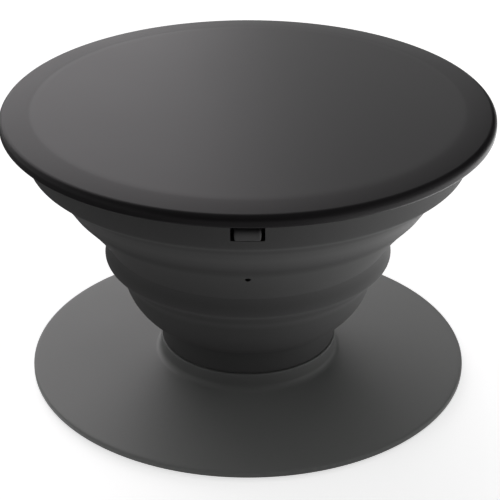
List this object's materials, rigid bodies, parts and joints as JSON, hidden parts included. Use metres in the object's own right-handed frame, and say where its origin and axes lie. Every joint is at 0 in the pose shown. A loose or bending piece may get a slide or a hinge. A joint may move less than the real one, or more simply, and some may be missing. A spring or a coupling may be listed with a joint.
{
  "type": "collapsible phone grip",
  "caption": "Round snap-together phone grip: a bevelled disc on a stepped soft bellows that folds flat, turning on a thin stick-on base.",
  "frame": {"origin": "centre of the adhesive face, which lies on the phone", "axes": "+Z out of the phone through the centre of the disc; the vent hole and one clip window face -Y"},
  "size_m": [0.0398, 0.0398, 0.0238],
  "materials": {
    "disc_plastic": "satin, finely moulded",
    "bellows_rubber": "matte, softly moulded",
    "base_plastic": "fine matte texture",
    "adhesive_gel": "smooth, slightly tacky"
  },
  "bodies": {
    "base": {"base": "base_plastic", "adhesive_pad": "adhesive_gel"},
    "accordion": {"accordion": "bellows_rubber"},
    "disc": {"top_disc": "disc_plastic"}
  },
  "joints": [
    {"name": "swivel", "type": "hinge", "parent": "base", "child": "accordion", "pos_m": [0, 0, 0.0029], "axis": [0, 0, 1], "continuous": true},
    {"name": "collapse", "type": "slide", "parent": "accordion", "child": "disc", "axis": [0, 0, 1], "range_m": [-0.017, 0], "deforming": ["accordion"]}
  ]
}
